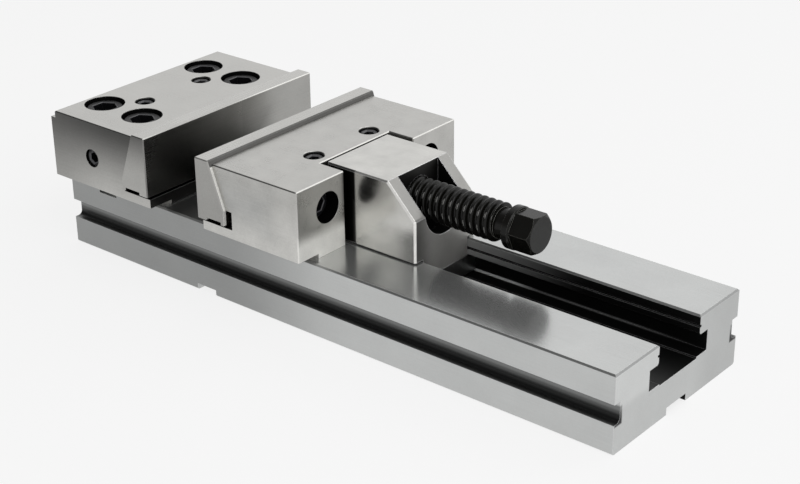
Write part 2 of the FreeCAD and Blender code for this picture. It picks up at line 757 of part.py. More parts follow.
def build_thrust():
    """Thrust block hooked over the spindle's button, and its cover in one piece with its screws."""
    block = new_body("thrust_block")
    outline = new_sketch(block, "thrust_block_outline", "YZ_Plane", block_front)
    rectangle(outline, -half(d.block_width), spindle_height - half(d.block_rise),
              half(d.block_width), spindle_height + half(d.block_rise))
    pad(block, outline, d.block_length, backwards=True)
    stem_start = d.spindle_end_x - thread_end
    button_start = stem_start - d.stem_length + d.block_gap
    for name, size, start, reach in (
            ("stem", d.stem_dia, stem_start, d.stem_length),
            ("button", d.button_dia, button_start, d.button_length + d.block_gap * 2)):
        wide = half(size) + d.block_gap
        slot = axis_sketch(block, f"thrust_{name}_slot", start)
        rectangle(slot, -wide, -d.block_rise, wide, ZERO)
        cut(block, slot, reach)
        bowl = axis_sketch(block, f"thrust_{name}_bowl", start)
        circle(bowl, ZERO, ZERO, wide * 2)
        cut(block, bowl, reach)
    place(block, moving_face)

    cover = new_body("thrust_cover")
    plate = new_sketch(cover, "thrust_cover_outline", "YZ_Plane", notch_face)
    rectangle(plate, -half(d.cover_width), spindle_height - half(d.cover_rise),
              half(d.cover_width), spindle_height + half(d.block_rise) + d.block_lift)
    pad(cover, plate, d.cover_thick, backwards=True)
    slot = new_sketch(cover, "thrust_cover_slot", "YZ_Plane", notch_face)
    rectangle(slot, -half(d.cover_slot), spindle_height - half(d.cover_rise) - OVER,
              half(d.cover_slot), spindle_height + half(d.block_lift))
    cut(cover, slot, d.cover_thick)
    bowl = new_sketch(cover, "thrust_cover_bowl", "YZ_Plane", notch_face)
    circle(bowl, ZERO, spindle_height + half(d.block_lift), d.cover_slot)
    cut(cover, bowl, d.cover_thick)
    shanks = new_sketch(cover, "thrust_cover_shanks", "YZ_Plane", notch_face)
    for hand in (-1, 1):
        circle(shanks, half(d.cover_screw_spread) * hand, spindle_height, d.cover_screw_dia)
    pad(cover, shanks, d.cover_screw_length, backwards=True)
    for name, hand in (("near", -1), ("far", 1)):
        mouth = new_sketch(cover, f"thrust_cover_socket_{name}", "YZ_Plane", notch_face)
        hexagon(mouth, d.cover_screw_socket, half(d.cover_screw_spread) * hand, spindle_height)
        cut(cover, mouth, d.cover_screw_socket_depth)
    place(cover, moving_face)


def build_small_parts():
    """Bolts, key, plate screws and the set screws in the accessory holes."""
    seat = jaw_top - d.bolt_sink
    number = 0
    for row in (d.bolt_row_front, d.bolt_row_back):
        for hand in (-1, 1):
            number += 1
            bolt = cap_screw(f"fixed_jaw_bolt_{number}", d.bolt_dia, d.bolt_length,
                             d.bolt_head_dia, d.bolt_head_rise, d.bolt_socket)
            place(bolt, fixed_face - row, half(bolt_spread) * hand, seat, TO_DOWN)

    key = new_body("fixed_jaw_key")
    outline = new_sketch(key, "fixed_jaw_key_outline", "XY_Plane")
    rectangle(outline, -half(d.tenon_width), -half(d.foot_width),
              half(d.tenon_width), half(d.foot_width))
    pad(key, outline, d.tenon_rise)
    place(key, fixed_face - d.tenon_place, ZERO, d.base_height - d.tenon_sunk)

    height = d.base_height + d.pull_rise
    rows = (("fixed", d.fixed_depth, fixed_face, -1, d.pull_spread_fixed, TO_REAR),
            ("moving", d.moving_depth, moving_face, 1, pull_spread_moving, TO_FRONT))
    for jaw, depth, face, way, spread, turn in rows:
        under_head = depth - d.pull_sink
        for index, hand in enumerate((-1, 1), start=1):
            screw = cap_screw(f"{jaw}_plate_screw_{index}", d.pull_dia,
                              under_head - d.pull_reach, d.pull_head_dia, d.pull_head_rise,
                              d.pull_socket)
            place(screw, face + under_head * way, half(spread) * hand, height, turn)

    tip = jaw_top - d.plug_sunk - d.plug_length
    for jaw, spot in (("fixed", fixed_face - d.top_plug_fixed),
                      ("moving", moving_face + d.top_plug_moving)):
        for index, hand in enumerate((-1, 1), start=1):
            plug = set_screw(f"{jaw}_top_plug_{index}")
            place(plug, spot, half(d.top_plug_spread) * hand, tip, TO_DOWN)
    inner = half(d.jaw_width) - d.plug_sunk - d.plug_length
    for index, hand in enumerate((-1, 1), start=1):
        plug = set_screw(f"side_plug_{index}")
        place(plug, fixed_face - d.side_plug_place, inner * hand,
              d.base_height + d.side_plug_rise, (Z_AXIS, 90 * hand))


def check_and_export():
    """Refuse a failed feature or a bad solid, then write each sub-part."""
    doc.recompute()
    for thing in doc.Objects:
        if "Invalid" in thing.State or "Error" in thing.State:
            raise RuntimeError(f"{thing.Label}: {thing.State}")
    for body in parts:
        shape = body.Shape
        if shape.isNull() or not shape.isValid() or len(shape.Solids) != 1:
            raise RuntimeError(f"{body.Label} is not one valid solid")
    os.makedirs("parts", exist_ok=True)
    for body in parts:
        body.Shape.exportStep(f"parts/{body.Label}.step")


build_base()
build_fixed_jaw()
build_plate("fixed_jaw_plate", fixed_face, (Z_AXIS, 180), d.pull_spread_fixed)
build_moving_jaw()
build_plate("moving_jaw_plate", moving_face, None, pull_spread_moving)
build_jaw_guide()
build_carriage()
build_spindle()
build_thrust()
build_small_parts()
check_and_export()
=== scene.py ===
"""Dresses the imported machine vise: steel and black finishes, threaded spindle, socket screws and studio."""
import json
import logging
import math
from dataclasses import dataclass, replace
from enum import Enum

import bmesh
import bpy
from mathutils import Matrix, Vector


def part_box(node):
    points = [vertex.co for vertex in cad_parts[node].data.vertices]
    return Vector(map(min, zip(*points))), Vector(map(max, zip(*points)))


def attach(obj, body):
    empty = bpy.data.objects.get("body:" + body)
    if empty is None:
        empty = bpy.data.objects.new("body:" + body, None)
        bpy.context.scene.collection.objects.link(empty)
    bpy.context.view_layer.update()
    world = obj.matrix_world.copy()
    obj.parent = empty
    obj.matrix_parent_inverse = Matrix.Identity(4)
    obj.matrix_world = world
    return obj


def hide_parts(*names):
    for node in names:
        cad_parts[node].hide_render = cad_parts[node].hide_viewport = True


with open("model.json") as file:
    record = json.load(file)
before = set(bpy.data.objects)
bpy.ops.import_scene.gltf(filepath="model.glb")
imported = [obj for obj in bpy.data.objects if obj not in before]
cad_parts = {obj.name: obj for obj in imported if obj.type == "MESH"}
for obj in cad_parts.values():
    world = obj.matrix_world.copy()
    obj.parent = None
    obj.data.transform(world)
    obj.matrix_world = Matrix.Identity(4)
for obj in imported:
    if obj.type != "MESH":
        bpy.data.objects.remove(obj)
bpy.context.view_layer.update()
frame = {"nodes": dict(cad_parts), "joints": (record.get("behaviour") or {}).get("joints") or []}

MM = 0.001
TO_METRES = Matrix.Scale(MM, 4)
LOG = logging.getLogger("vise")

# Lengths in millimetres. A zone's open side runs BEYOND past its node. Other sides run LAP past the
# surface that they are for, or keep SKIN or BORE_SKIN under a node's outside. A bore's zone is wider
# than its screw by BORE_ROOM or PLUG_ROOM, and vertices closer than MERGE become one.
BEYOND = 100.0
LAP = 1.0
SKIN = 0.2
BORE_SKIN = 0.35
BORE_ROOM = 1.4
PLUG_ROOM = 1.1
MERGE = 0.002

# Edges that bend by more than this angle, in degrees, stay sharp.
SMOOTH_ANGLE = 35.0

Colour = tuple[float, float, float]
Point = tuple[float, float, float]
Span = tuple[float | None, float | None]
Value = float | tuple | bpy.types.NodeSocket
OPEN: Span = (None, None)


class Way(Enum):
    """Directions along the vise, across it and up."""

    ALONG = (1.0, 0.0, 0.0)
    BACK = (-1.0, 0.0, 0.0)
    FAR = (0.0, 1.0, 0.0)
    NEAR = (0.0, -1.0, 0.0)
    UP = (0.0, 0.0, 1.0)


def warm(level: float) -> Colour:
    """Returns the jaws' grey, a little yellow."""
    return (level, level * 0.99, level * 0.95)


def cool(level: float) -> Colour:
    """Returns the base's grey, a little cooler."""
    return (level * 0.985, level, level * 0.99)


class Graph:
    """Shader nodes of one material or world, joined by short calls."""

    def __init__(self, tree: bpy.types.NodeTree) -> None:
        """Starts with an empty tree."""
        self.tree = tree
        tree.nodes.clear()

    def node(self, kind: str, inputs: dict, **settings: object) -> bpy.types.Node:
        """Adds a node.

        Args:
            kind: Blender's name of the node type.
            inputs: Value or socket for each input, by name or number.
            settings: Properties of the node.

        Returns:
            The new node.
        """
        node = self.tree.nodes.new(kind)
        for name, value in settings.items():
            setattr(node, name, value)
        for key, value in inputs.items():
            self.feed(node.inputs[key], value)
        return node

    def feed(self, socket: bpy.types.NodeSocket, value: Value) -> None:
        """Links a socket to an input, or sets the input's own value."""
        if isinstance(value, bpy.types.NodeSocket):
            self.tree.links.new(value, socket)
        else:
            socket.default_value = value

    def math(self, operation: str, *values: Value) -> bpy.types.NodeSocket:
        """Returns the result of a Math node."""
        return self.node("ShaderNodeMath", dict(enumerate(values)), operation=operation).outputs[0]

    def vector(self, operation: str, *values: Value) -> bpy.types.NodeSocket:
        """Returns the vector that a Vector Math node gives."""
        return self.node("ShaderNodeVectorMath", dict(enumerate(values)), operation=operation).outputs[0]

    def dot(self, first: Value, second: Value) -> bpy.types.NodeSocket:
        """Returns the dot product of two vectors."""
        node = self.node("ShaderNodeVectorMath", {0: first, 1: second}, operation="DOT_PRODUCT")
        return node.outputs["Value"]

    def scaled(self, vector: Value, share: Value) -> bpy.types.NodeSocket:
        """Returns a vector or colour times a number."""
        node = self.node("ShaderNodeVectorMath", {0: vector, "Scale": share}, operation="SCALE")
        return node.outputs[0]

    def ramp(self, value: Value, low: float, high: float, start: float = 0.0,
             end: float = 1.0) -> bpy.types.NodeSocket:
        """Returns a smooth step of a value.

        Args:
            value: What the step follows.
            low: Value at which the step starts.
            high: Value at which it ends.
            start: Result below the step.
            end: Result above it.

        Returns:
            The result's socket.
        """
        return self.node("ShaderNodeMapRange", {0: value, 1: low, 2: high, 3: start, 4: end},
                         interpolation_type="SMOOTHSTEP").outputs[0]

    def mix_colour(self, share: Value, first: Value, second: Value) -> bpy.types.NodeSocket:
        """Returns a mix of two colours."""
        return self.node("ShaderNodeMix", {0: share, 6: first, 7: second}, data_type="RGBA").outputs[2]

    def mix_number(self, share: Value, first: Value, second: Value) -> bpy.types.NodeSocket:
        """Returns a mix of two numbers."""
        return self.node("ShaderNodeMix", {0: share, 2: first, 3: second}, data_type="FLOAT").outputs[0]

    def raised(self, start: Value, *steps: tuple[Value, float]) -> bpy.types.NodeSocket:
        """Returns a number to which each step adds its value times its factor."""
        for value, factor in steps:
            start = self.math("ADD", start, self.math("MULTIPLY", value, factor))
        return start

    def bevel(self, radius: float, samples: int) -> bpy.types.NodeSocket:
        """Returns the normal of edges rounded to a radius in millimetres."""
        return self.node("ShaderNodeBevel", {"Radius": radius * MM}, samples=samples).outputs[0]

    def noise(self, place: Value, size: float, detail: float = 2.0) -> bpy.types.NodeSocket:
        """Returns noise whose blotches are about a size, in millimetres, around zero."""
        node = self.node("ShaderNodeTexNoise", {"Vector": place, "Scale": 1.0 / size, "Detail": detail})
        return self.math("SUBTRACT", node.outputs["Fac"], 0.5)

    def inside(self, place: Value, low: Point, high: Point, soft: Point) -> bpy.types.NodeSocket:
        """Tells where a place lies in a box.

        Args:
            place: Position in millimetres.
            low: The box's lowest corner.
            high: Its highest corner.
            soft: Half the width of its soft edges along X, Y and Z.

        Returns:
            One inside the box and zero outside it.
        """
        centre = tuple((a + b) / 2 for a, b in zip(low, high))
        reach = tuple((b - a) / 2 for a, b in zip(low, high))
        offset = self.vector("ABSOLUTE", self.vector("SUBTRACT", place, centre))
        outside = self.vector("DIVIDE", self.vector("SUBTRACT", offset, reach), soft)
        split = self.node("ShaderNodeSeparateXYZ", {0: outside})
        beyond = self.math("MAXIMUM", self.math("MAXIMUM", split.outputs[0], split.outputs[1]),
                           split.outputs[2])
        return self.ramp(beyond, -1.0, 1.0, 1.0, 0.0)


@dataclass(frozen=True)
class Zone:
    """Part of a piece with a finish of its own, which mostly paints light or shade: a box in millimetres, and
    the way that its faces look.

    Faces that look another way than facing are left out, and facing None takes them all. The less spread
    is, the closer they keep to it. Matt takes that share of the metal's mirroring away.
    """

    low: Point
    high: Point
    colour: Colour
    roughness: float
    facing: Way | Point | None = None
    spread: float = 0.25
    soft: float | Point = 0.25
    strength: float = 1.0
    matt: float = 0.0

    def share(self, graph: Graph, place: Value, normal: Value) -> bpy.types.NodeSocket:
        """Tells how much of the zone's finish a place shows.

        Args:
            graph: The material's nodes.
            place: Position in millimetres.
            normal: Way that the surface faces.

        Returns:
            One in the zone and zero outside it.
        """
        soft = self.soft if isinstance(self.soft, tuple) else (self.soft,) * 3
        share = graph.inside(place, self.low, self.high, soft)
        if self.facing:
            aim = Vector(getattr(self.facing, "value", self.facing)).normalized()
            turned = graph.ramp(graph.dot(normal, tuple(aim)), 1 - 2 * self.spread, 1 - self.spread)
            share = graph.math("MULTIPLY", share, turned)
        return graph.math("MULTIPLY", share, self.strength)


@dataclass
class Surface:
    """What zones change in a material: each field is a number, a colour or a socket."""

    colour: Value
    roughness: Value
    metallic: Value


def corners_mm(node: str) -> tuple[Vector, Vector]:
    """Returns a node's lowest and highest corners in millimetres."""
    low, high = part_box(node)
    return low / MM, high / MM


@dataclass(frozen=True)
class Cover:
    """Lays zones over one node."""

    node: str

    def zone(self, colour: Colour, roughness: float, x: Span = OPEN, y: Span = OPEN, z: Span = OPEN,
             **rest: object) -> Zone:
        """Makes a zone.

        Args:
            colour: Its colour.
            roughness: Its roughness.
            x: Where it starts and ends along the vise, in millimetres. None runs past the node's end.
            y: The same across the vise.
            z: The same upwards.
            rest: The zone's other fields.

        Returns:
            The zone.
        """
        low, high = corners_mm(self.node)
        spans = (x, y, z)
        start = tuple(a - BEYOND if span[0] is None else span[0] for a, span in zip(low, spans))
        stop = tuple(b + BEYOND if span[1] is None else span[1] for b, span in zip(high, spans))
        return Zone(start, stop, colour, roughness, **rest)


# Painted shade that blackens the walls of bores.
BORE_SHADE: Colour = (0.010, 0.010, 0.010)
# Span of the painted shade line under a jaw's top edge, in millimetres from the top.
EDGE_SHADE_SPAN: tuple[float, float] = (-0.7, -0.15)


def edge_shade_line(jaw: Cover, top: float) -> Zone:
    """Returns a painted shade line along the top edge of a jaw's near side."""
    return jaw.zone(warm(0.08), 0.4, z=(top + EDGE_SHADE_SPAN[0], top + EDGE_SHADE_SPAN[1]), facing=Way.NEAR)


def bore_shade_zone(node: str, body: str, way: Way, room: float = BORE_ROOM) -> Zone:
    """Returns the zone of painted shade in the bore that a screw stands in.

    Args:
        node: The screw.
        body: The piece with the bore.
        way: Where the bore opens.
        room: How much wider than the screw the zone is.

    Returns:
        The zone, which ends just under the piece's outside.
    """
    inner, outer = corners_mm(node), corners_mm(body)
    low = [max(a - room, b + BORE_SKIN) for a, b in zip(inner[0], outer[0])]
    high = [min(a + room, b - BORE_SKIN) for a, b in zip(inner[1], outer[1])]
    for axis, part in enumerate(way.value):
        if part > 0:
            high[axis] = outer[1][axis] - BORE_SKIN
        if part < 0:
            low[axis] = outer[0][axis] + BORE_SKIN
    return Zone(tuple(low), tuple(high), BORE_SHADE, 0.5, soft=0.2)


@dataclass(frozen=True)
class Finish:
    """Metal: colour, gloss, clouds, grain, grinding streaks, and edges lighter by wear and painted highlight.
    Sizes in millimetres.
    """

    name: str
    colour: Colour
    roughness: float
    metallic: float = 1.0
    specular: float = 0.5
    cloud: float = 0.06
    cloud_size: float = 28.0
    cloud_detail: float = 3.0
    grain: float = 0.05
    grain_size: float = 0.9
    streak: float = 0.05
    lay: Way = Way.ALONG
    streak_length: float = 60.0
    streak_width: float = 0.5
    bump: float = 0.06
    # The edge colour is part wear and part painted highlight.
    edge_colour: Colour = (0.85, 0.85, 0.86)
    edge_radius: float = 0.7
    edge_share: float = 0.5
    edge_start: float = 0.99
    edge_full: float = 0.80
    round_radius: float = 0.35
    bevel_samples: int = 4
    bump_depth: float = 0.2
    grain_height: float = 0.5
    tone_swing: float = 4.0
    gloss_swing: float = 2.0

    def make(self, zones: tuple[Zone, ...] = (), label: str = "") -> bpy.types.Material:
        """Builds the material.

        Args:
            zones: Places with another colour and gloss.
            label: End of the material's name, for a piece with zones.

        Returns:
            The material.
        """
        material = bpy.data.materials.new(self.name + label)
        material.use_nodes = True
        graph = Graph(material.node_tree)
        coordinates = graph.node("ShaderNodeTexCoord", {})
        place = graph.scaled(coordinates.outputs["Object"], 1.0 / MM)
        cloud = graph.noise(place, self.cloud_size, self.cloud_detail)
        grain = graph.noise(place, self.grain_size)
        across = tuple(self.streak_width / self.streak_length if part else 1.0 for part in self.lay.value)
        streak = graph.noise(graph.vector("MULTIPLY", place, across), self.streak_width)

        tone = graph.raised(1.0, (cloud, self.cloud * self.tone_swing),
                            (grain, self.grain * self.tone_swing), (streak, self.streak * self.tone_swing))
        surface = Surface(graph.scaled(self.colour, tone),
                          graph.raised(self.roughness, (cloud, self.cloud * self.gloss_swing),
                                       (streak, self.streak * self.gloss_swing)), self.metallic)
        for zone in zones:
            share = zone.share(graph, place, coordinates.outputs["Normal"])
            surface.colour = graph.mix_colour(share, surface.colour, graph.scaled(zone.colour, tone))
            surface.roughness = graph.mix_number(share, surface.roughness, zone.roughness)
            if zone.matt:
                surface.metallic = graph.mix_number(share, surface.metallic, self.metallic * (1 - zone.matt))

        height = graph.raised(streak, (grain, self.grain_height))
        rounded = graph.bevel(self.round_radius, self.bevel_samples)
        bump = graph.node("ShaderNodeBump", {"Strength": self.bump, "Distance": self.bump_depth * MM,
                                             "Height": height, "Normal": rounded})
        shader = graph.node("ShaderNodeBsdfPrincipled", {
            "Base Color": self.worn_and_highlit_edges(graph, surface.colour), "Roughness": surface.roughness,
            "Normal": bump.outputs[0], "Metallic": surface.metallic, "Specular IOR Level": self.specular})
        graph.node("ShaderNodeOutputMaterial", {"Surface": shader.outputs[0]})
        return material

    def worn_and_highlit_edges(self, graph: Graph, colour: Value) -> bpy.types.NodeSocket:
        """Returns a colour with the edges' colour, part wear and part painted highlight, where the surface
        bends.
        """
        flat = graph.node("ShaderNodeNewGeometry", {}).outputs["Normal"]
        bent = graph.ramp(graph.dot(graph.bevel(self.edge_radius, self.bevel_samples), flat), self.edge_full,
                          self.edge_start, self.edge_share, 0.0)
        return graph.mix_colour(bent, colour, (*self.edge_colour, 1.0))


GROUND_STEEL = Finish("ground_steel", warm(0.47), 0.30, edge_share=0.12)
TABLE_STEEL = Finish("table_steel", cool(0.54), 0.30, cloud=0.04, grain=0.02, streak=0.03, bump=0.0,
                     edge_share=0.35)
CLOUDED_STEEL = replace(GROUND_STEEL, cloud=0.09, cloud_size=14.0)
PLATE_STEEL = Finish("plate_steel", warm(0.48), 0.26, lay=Way.FAR, edge_share=0.10)
POLISHED_STEEL = Finish("polished_steel", warm(0.56), 0.19, cloud=0.10, cloud_size=14.0, grain=0.02,
                        edge_radius=1.0, edge_share=0.8)
GUIDE_STEEL = Finish("guide_steel", cool(0.36), 0.34)
BLACK_OXIDE = Finish("black_oxide", (0.006, 0.006, 0.007), 0.34, metallic=0.0, specular=0.15,
                     cloud=0.12, cloud_size=6.0, grain=0.12, grain_size=0.5, streak=0.0,
                     edge_colour=(0.05, 0.05, 0.05), edge_radius=0.5, edge_share=0.6)
# Painted highlight: the screws' broken edges are lighter than their black oxide.
RIM_HIGHLIGHT = Finish("rim_highlight", (0.075, 0.075, 0.08), 0.36, metallic=0.0, specular=0.5, cloud=0.10,
                  cloud_size=3.0, grain=0.10, grain_size=0.5, streak=0.0, edge_share=0.0)
OILED_SPINDLE = Finish("oiled_spindle", (0.004, 0.0038, 0.003), 0.19, metallic=0.0, specular=0.19,
                       cloud=0.10, cloud_size=7.0, grain=0.08, grain_size=0.6, streak=0.0,
                       edge_colour=(0.22, 0.22, 0.20), edge_radius=0.45, edge_share=0.6)


def dress(node: str, material: bpy.types.Material) -> None:
    """Gives a CAD node a material in each of its slots."""
    item = frame["nodes"][node]
    if not item.material_slots:
        item.data.materials.append(material)
    for slot in item.material_slots:
        slot.material = material
    LOG.info("%s wears %s", node, material.name)


class Piece:
    """Mesh of one new piece, built in millimetres and set down in the vise's frame."""

    def __init__(self, name: str) -> None:
        """Starts an empty mesh."""
        self.name = name
        self.mesh = bmesh.new()

    def ring(self, radius: float, height: float, segments: int, cuts: int = 0) -> list[bmesh.types.BMEdge]:
        """Draws a closed loop about the Z axis.

        Args:
            radius: Distance of its corners from the axis.
            height: Its level.
            segments: How many straight sides it has.
            cuts: How often each side is divided.

        Returns:
            The loop's edges.
        """
        made = bmesh.ops.create_circle(self.mesh, segments=segments, radius=radius)
        bmesh.ops.translate(self.mesh, verts=made["verts"], vec=(0, 0, height))
        edges = list({edge for vertex in made["verts"] for edge in vertex.link_edges})
        if cuts:
            split = bmesh.ops.subdivide_edges(self.mesh, edges=edges, cuts=cuts)
            edges = [item for item in split["geom"] if isinstance(item, bmesh.types.BMEdge)]
        return edges

    def drawn(self, edges: list[bmesh.types.BMEdge], rise: float, scale: float = 1.0
              ) -> list[bmesh.types.BMEdge]:
        """Pulls a wall from a loop.

        Args:
            edges: The loop.
            rise: How far the new loop is moved along Z.
            scale: How much wider it gets.

        Returns:
            The new loop's edges.
        """
        made = bmesh.ops.extrude_edge_only(self.mesh, edges=edges)["geom"]
        verts = [item for item in made if isinstance(item, bmesh.types.BMVert)]
        bmesh.ops.translate(self.mesh, verts=verts, vec=(0, 0, rise))
        bmesh.ops.scale(self.mesh, verts=verts, vec=(scale, scale, 1))
        return [item for item in made if isinstance(item, bmesh.types.BMEdge)]

    def closed(self, edges: list[bmesh.types.BMEdge]) -> None:
        """Closes a loop with one face."""
        bmesh.ops.contextual_create(self.mesh, geom=edges)

    def joined(self, first: list[bmesh.types.BMEdge], second: list[bmesh.types.BMEdge]) -> None:
        """Joins two loops of as many edges with a wall."""
        bmesh.ops.bridge_loops(self.mesh, edges=first + second)

    def bevelled(self, edges: list[bmesh.types.BMEdge], width: float) -> None:
        """Breaks a row of edges."""
        bmesh.ops.bevel(self.mesh, geom=edges, offset=width, offset_type="OFFSET", segments=1,
                        affect="EDGES", profile=0.5, material=-1)

    def settled(self, place: Matrix, materials: tuple[bpy.types.Material, ...], body: str, *nodes: str
                ) -> bpy.types.Object:
        """Sets the piece down and lets it ride.

        Args:
            place: Where its own frame lies in the vise, in millimetres.
            materials: Its finishes, in the order of the faces' numbers for them.
            body: The CAD body that carries it.
            nodes: The CAD nodes that it stands for.

        Returns:
            The new object.
        """
        bmesh.ops.remove_doubles(self.mesh, verts=self.mesh.verts, dist=MERGE)
        bmesh.ops.recalc_face_normals(self.mesh, faces=self.mesh.faces)
        bmesh.ops.transform(self.mesh, matrix=TO_METRES @ place, verts=self.mesh.verts)
        data = bpy.data.meshes.new(self.name)
        self.mesh.to_mesh(data)
        self.mesh.free()
        data.shade_smooth()
        data.set_sharp_from_angle(angle=math.radians(SMOOTH_ANGLE))
        for material in materials:
            data.materials.append(material)
        item = bpy.data.objects.new(self.name, data)
        bpy.context.scene.collection.objects.link(item)
        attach(item, body)
        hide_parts(*nodes)
        LOG.info("%s: %d faces", self.name, len(data.polygons))
        return item


@dataclass
class SocketScrew:
    """Hexagon socket screw. Its length and its head's radius come from the node that it stands for.

    Faces whose normals lean between rim_low and rim_high, along the screw, are its broken edges.
    """

    node: str
    body: str
    head_way: Way
    across: float
    head_rise: float
    shank: float
    socket_share: float = 0.5
    head_break: float = 1.2
    mouth_break: float = 0.45
    lift: float = 0.0
    rim_low: float = 0.3
    rim_high: float = 0.95
    around: int = 48
    near_enough: float = 0.001

    def build(self, black: bpy.types.Material, rim: bpy.types.Material) -> bpy.types.Object:
        """Builds the screw with its head along its own Z axis.

        Args:
            black: Its finish.
            rim: Finish of its broken edges, lighter by a painted highlight.

        Returns:
            The new object.
        """
        low, high = corners_mm(self.node)
        aim = Vector(self.head_way.value)
        size = high - low
        total = abs(size.dot(aim))
        across_box = max(size - Vector([abs(part) * total for part in aim]))
        middle = (low + high) / 2
        head_end = middle + aim * total / 2
        head = across_box / 2
        piece = Piece(f"{self.node}_detailed")
        edge = piece.ring(head, 0.0, self.around)
        corner = self.across / math.sqrt(3)
        mouth = piece.ring(corner, 0.0, 6, self.around // 6 - 1)
        piece.joined(edge, mouth)
        depth = self.head_rise * self.socket_share
        floor = piece.drawn(mouth, -depth)
        piece.closed(floor)
        seat = piece.drawn(edge, -self.head_rise)
        if self.shank < head:
            seat = piece.drawn(seat, 0.0, self.shank / head)
        piece.closed(piece.drawn(seat, -(total - self.head_rise)))
        piece.bevelled(edge, self.head_break)
        mouth = [item for item in piece.mesh.edges if self.on_mouth(item, corner)]
        piece.bevelled(mouth, self.mouth_break)
        turn = Vector((0, 0, 1)).rotation_difference(aim).to_matrix().to_4x4()
        for face in piece.mesh.faces:
            face.normal_update()
            if self.rim_low < abs(face.normal.z) < self.rim_high:
                face.material_index = 1
        place = Matrix.Translation(head_end + aim * self.lift) @ turn
        return piece.settled(place, (black, rim), self.body, self.node)

    def on_mouth(self, edge: bmesh.types.BMEdge, corner: float) -> bool:
        """Returns whether an edge lies on the socket's mouth."""
        return all(abs(vert.co.z) < self.near_enough and vert.co.xy.length < corner + self.near_enough
                   for vert in edge.verts)


